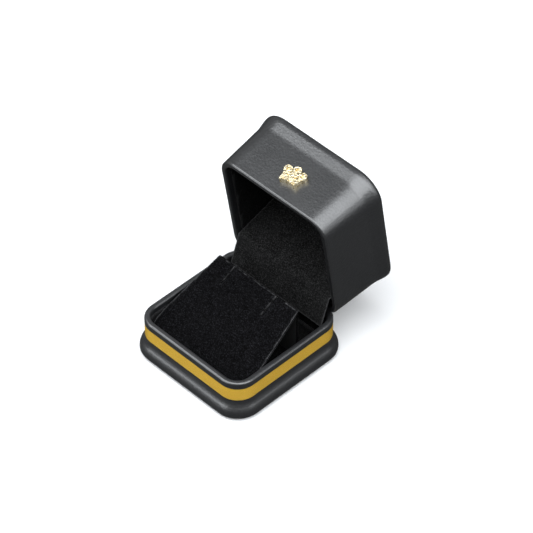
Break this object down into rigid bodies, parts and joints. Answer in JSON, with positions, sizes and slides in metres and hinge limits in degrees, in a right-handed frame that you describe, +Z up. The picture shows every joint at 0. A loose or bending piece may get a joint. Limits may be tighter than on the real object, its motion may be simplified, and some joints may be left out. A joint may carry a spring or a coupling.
{
  "type": "earring box",
  "caption": "Small hinged-lid earring box covered in black leatherette, with a gold ribbon round the base, a cast crown on the lid and a slit velvet card inside.",
  "frame": {"origin": "centre of the base's underside, on the surface that the box stands on", "axes": "+Z up, +X along the hinge towards the right seen from the front, -Y towards the front"},
  "size_m": [0.0654, 0.0901, 0.0839],
  "materials": {
    "moulded_shell": "matte",
    "leatherette": "satin, fine grain",
    "gold_ribbon": "metallic woven",
    "flocked_sheet": "flocked",
    "velvet": "short pile",
    "greyboard": "matte",
    "black_board": "matte, dyed through",
    "hinge_steel": "nickel plated",
    "spring_steel": "bright",
    "gilt_casting": "polished"
  },
  "bodies": {
    "base": {"base_shell": "moulded_shell", "base_skirt_cover": "leatherette", "base_rim_cover": "leatherette", "gold_band": "gold_ribbon", "bottom_sheet": "flocked_sheet", "base_lining": "velvet", "floor_board": "greyboard", "floor_velvet": "velvet", "hinge_base_leaf": "hinge_steel", "hinge_pin": "hinge_steel", "hinge_snap_spring": "spring_steel", "hinge_base_rivets": "hinge_steel"},
    "card": {"card_board": "black_board", "card_velvet": "velvet"},
    "lid": {"lid_shell": "moulded_shell", "lid_cover": "leatherette", "lid_lining": "velvet", "lid_top_board": "greyboard", "lid_top_velvet": "velvet", "hinge_lid_leaf": "hinge_steel", "hinge_lid_rivets": "hinge_steel", "crown": "gilt_casting", "crown_washers": "spring_steel", "lid_panel_board": "black_board", "lid_panel_velvet": "velvet"},
    "flap": {"flap_board": "black_board", "flap_velvet": "velvet"}
  },
  "joints": [
    {"name": "lid_hinge", "type": "hinge", "parent": "base", "child": "lid", "pos_m": [0, 0.02786, 0.02027], "axis": [1, 0, 0], "range_deg": [0, 81]},
    {"name": "flap_crease", "type": "hinge", "parent": "lid", "child": "flap", "pos_m": [0, 0.02574, 0.03002], "axis": [1, 0, 0], "range_deg": [-51.8, 0]},
    {"name": "card_lift", "type": "slide", "parent": "base", "child": "card", "axis": [0, 0, 1], "range_m": [0, 0.012]}
  ],
  "couplings": [
    {"joint": "flap_crease", "follows": "lid_hinge", "ratio": -0.6395}
  ]
}
